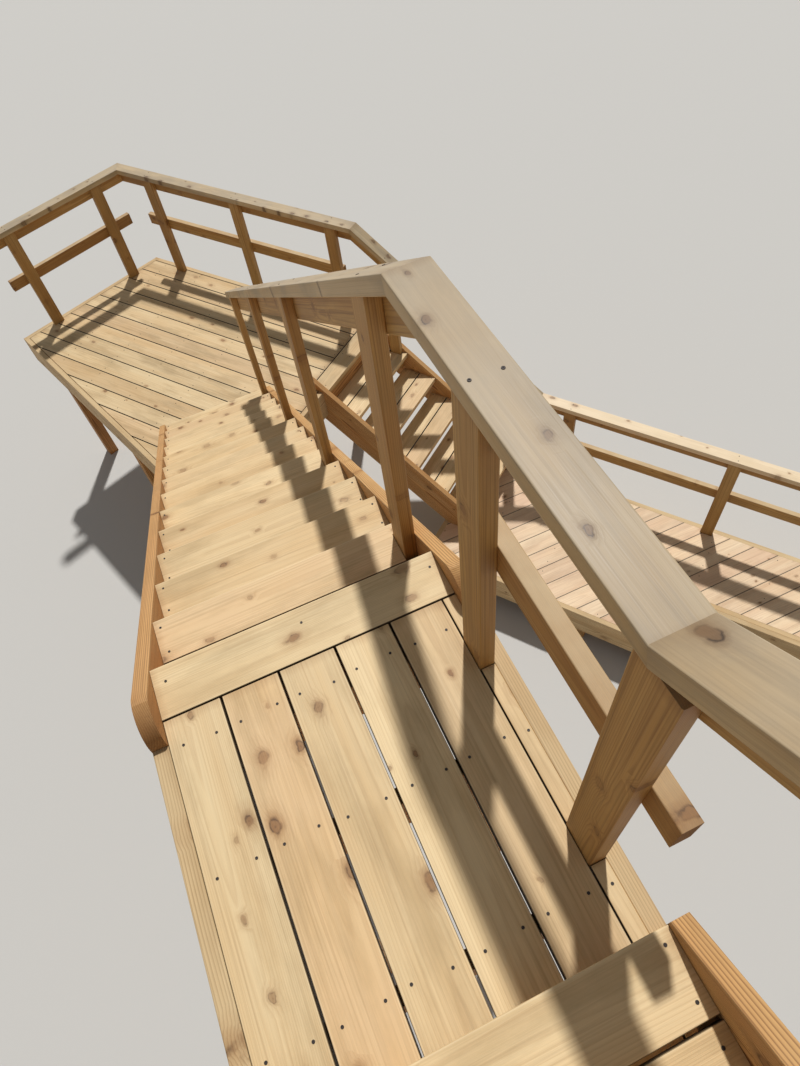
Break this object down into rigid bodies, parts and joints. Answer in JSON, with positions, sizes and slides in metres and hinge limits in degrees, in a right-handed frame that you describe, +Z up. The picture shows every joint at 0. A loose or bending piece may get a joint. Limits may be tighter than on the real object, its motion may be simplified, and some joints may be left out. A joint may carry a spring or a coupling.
{
  "type": "wooden deck stairs",
  "caption": "Open-riser wooden stairs that come down a slope by way of landings to a low boardwalk, with a post and cap handrail along the outer side",
  "frame": {"origin": "the middle of the bounding box in plan, at the level of the feet", "axes": "+Z is up, +Y runs down the middle flight, and +X is on the right of a person who walks down it"},
  "size_m": [5.9586, 7.9548, 5.8488],
  "materials": {
    "decking": "planed softwood, unfinished",
    "framing": "sawn softwood, unfinished",
    "railing": "planed softwood, unfinished",
    "cap_rail": "planed softwood, slightly weathered"
  },
  "bodies": {
    "root": {"boardwalk_inner_rim": "framing", "lower_flight_cap_rail": "cap_rail", "lower_flight_cleats": "framing", "lower_flight_posts": "railing", "lower_flight_side_rails": "railing", "lower_flight_stringers": "framing", "lower_flight_treads": "decking", "lower_landing_boards": "decking", "lower_landing_far_cap_rail": "cap_rail", "lower_landing_far_side_rails": "railing", "lower_landing_inner_rim": "framing", "lower_landing_joists": "framing", "lower_landing_left_cap_rail": "cap_rail", "lower_landing_left_side_rails": "railing", "lower_landing_legs": "framing", "lower_landing_long_rims": "framing", "lower_landing_posts": "railing", "lower_landing_short_rims": "framing", "middle_flight_cap_rail": "cap_rail", "middle_flight_cleats": "framing", "middle_flight_posts": "railing", "middle_flight_side_rails": "railing", "middle_flight_stringers": "framing", "middle_flight_treads": "decking", "platform_boards": "decking", "platform_cap_rail": "cap_rail", "platform_cross_rims": "framing", "platform_joists": "framing", "platform_legs": "framing", "platform_long_rims": "framing", "platform_posts": "railing", "platform_side_rails": "railing", "upper_flight_cap_rail": "cap_rail", "upper_flight_cleats": "framing", "upper_flight_side_rails": "railing", "upper_flight_stringers": "framing", "upper_flight_treads": "decking", "upper_landing_boards": "decking", "upper_landing_cap_rail": "cap_rail", "upper_landing_end_rim": "framing", "upper_landing_joists": "framing", "upper_landing_side_rails": "railing", "upper_landing_side_rims": "framing", "upper_legs": "framing", "upper_rail_posts": "railing"}
  },
  "joints": []
}
